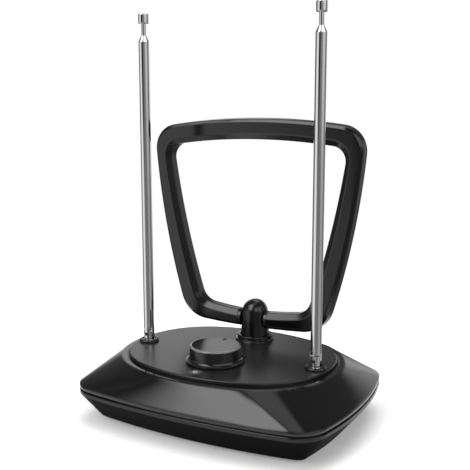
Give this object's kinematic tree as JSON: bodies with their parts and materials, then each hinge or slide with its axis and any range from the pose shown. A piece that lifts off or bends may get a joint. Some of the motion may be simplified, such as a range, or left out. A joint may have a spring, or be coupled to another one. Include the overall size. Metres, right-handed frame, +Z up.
{
  "type": "indoor tv antenna",
  "caption": "Amplified indoor TV antenna: a low weighted base with an oval top plate, gain knob and pilot lamp, telescopic rods on swivel hinges and a tilting loop on a domed post.",
  "frame": {"origin": "on the table under the middle of the base", "axes": "+Z up, -Y to the front where the lamp and knob are, +X to the right seen from the front"},
  "size_m": [0.187, 0.1414, 0.2674],
  "materials": {
    "shell_gloss": "polished black moulding",
    "shell_matte": "matte black moulding",
    "plate_satin": "satin black oval plate",
    "loop_black": "satin black moulding",
    "post_black": "satin black moulding",
    "knob_black": "satin black moulding with a brighter rim",
    "collar_black": "black moulding",
    "connector_black": "black moulding",
    "rubber": "black rubber",
    "chrome": "bright chrome on brass tube",
    "pin_dark": "darkened steel pin",
    "screw_steel": "zinc-plated steel",
    "tinned_steel": "tinned steel",
    "ballast_steel": "plain steel plate",
    "board": "green circuit board",
    "element_brass": "brass strip",
    "lamp_green": "clear green light pipe, lit"
  },
  "bodies": {
    "base": {"lower_shell": "shell_matte", "upper_shell": "shell_gloss", "top_plate": "plate_satin", "foot_front_left": "rubber", "foot_front_right": "rubber", "foot_back_left": "rubber", "foot_back_right": "rubber", "case_screws": "screw_steel", "ballast_plate": "ballast_steel", "amplifier_board": "board", "amplifier_shield": "tinned_steel", "gain_potentiometer": "tinned_steel", "power_lamp": "lamp_green", "board_screws": "screw_steel", "power_jack": "connector_black", "lead_gland": "rubber", "rod_collar_left": "collar_black", "rod_collar_right": "collar_black", "post_ring": "post_black"},
    "knob": {"gain_knob": "knob_black", "potentiometer_shaft": "tinned_steel"},
    "left_swivel": {"rod_swivel_left": "chrome", "swivel_nut_left": "tinned_steel", "hinge_pin_left": "pin_dark"},
    "left_outer_tube": {"rod_foot_left": "chrome", "rod_tube_1_left": "chrome"},
    "left_second_tube": {"rod_tube_2_left": "chrome"},
    "left_third_tube": {"rod_tube_3_left": "chrome"},
    "left_fourth_tube": {"rod_tube_4_left": "chrome"},
    "left_tip": {"tip_rod_left": "chrome", "tip_button_left": "chrome"},
    "right_swivel": {"rod_swivel_right": "chrome", "swivel_nut_right": "tinned_steel", "hinge_pin_right": "pin_dark"},
    "right_outer_tube": {"rod_foot_right": "chrome", "rod_tube_1_right": "chrome"},
    "right_second_tube": {"rod_tube_2_right": "chrome"},
    "right_third_tube": {"rod_tube_3_right": "chrome"},
    "right_fourth_tube": {"rod_tube_4_right": "chrome"},
    "right_tip": {"tip_rod_right": "chrome", "tip_button_right": "chrome"},
    "post": {"loop_post": "post_black", "post_clip": "tinned_steel"},
    "loop": {"loop_front_shell": "loop_black", "loop_rear_shell": "loop_black", "loop_element": "element_brass", "loop_pivot_pin": "tinned_steel", "friction_washer_left": "post_black", "friction_washer_right": "post_black"}
  },
  "joints": [
    {"name": "gain_turn", "type": "hinge", "parent": "base", "child": "knob", "pos_m": [0, -0.0222, 0.0435], "axis": [0, 0, 1], "range_deg": [-140, 140]},
    {"name": "left_rod_swivel", "type": "hinge", "parent": "base", "child": "left_swivel", "pos_m": [-0.0633, -0.0057, 0.0491], "axis": [0, 0, 1], "range_deg": [-90, 90]},
    {"name": "left_rod_tilt", "type": "hinge", "parent": "left_swivel", "child": "left_outer_tube", "pos_m": [-0.0633, -0.0057, 0.0491], "axis": [0, -1, 0], "range_deg": [0, 90]},
    {"name": "left_slide_1", "type": "slide", "parent": "left_outer_tube", "child": "left_second_tube", "axis": [0, 0, 1], "range_m": [0, 0.18]},
    {"name": "left_slide_2", "type": "slide", "parent": "left_second_tube", "child": "left_third_tube", "axis": [0, 0, 1], "range_m": [0, 0.18]},
    {"name": "left_slide_3", "type": "slide", "parent": "left_third_tube", "child": "left_fourth_tube", "axis": [0, 0, 1], "range_m": [0, 0.18]},
    {"name": "left_slide_4", "type": "slide", "parent": "left_fourth_tube", "child": "left_tip", "axis": [0, 0, 1], "range_m": [0, 0.18]},
    {"name": "right_rod_swivel", "type": "hinge", "parent": "base", "child": "right_swivel", "pos_m": [0.0633, -0.0057, 0.0491], "axis": [0, 0, 1], "range_deg": [-90, 90]},
    {"name": "right_rod_tilt", "type": "hinge", "parent": "right_swivel", "child": "right_outer_tube", "pos_m": [0.0633, -0.0057, 0.0491], "axis": [0, 1, 0], "range_deg": [0, 90]},
    {"name": "right_slide_1", "type": "slide", "parent": "right_outer_tube", "child": "right_second_tube", "axis": [0, 0, 1], "range_m": [0, 0.18]},
    {"name": "right_slide_2", "type": "slide", "parent": "right_second_tube", "child": "right_third_tube", "axis": [0, 0, 1], "range_m": [0, 0.18]},
    {"name": "right_slide_3", "type": "slide", "parent": "right_third_tube", "child": "right_fourth_tube", "axis": [0, 0, 1], "range_m": [0, 0.18]},
    {"name": "right_slide_4", "type": "slide", "parent": "right_fourth_tube", "child": "right_tip", "axis": [0, 0, 1], "range_m": [0, 0.18]},
    {"name": "loop_swivel", "type": "hinge", "parent": "base", "child": "post", "pos_m": [0, 0.03505, 0.0435], "axis": [0, 0, 1], "range_deg": [-20, 20]},
    {"name": "loop_tilt", "type": "hinge", "parent": "post", "child": "loop", "pos_m": [0, 0.03505, 0.05835], "axis": [-1, 0, 0], "range_deg": [0, 90]}
  ]
}
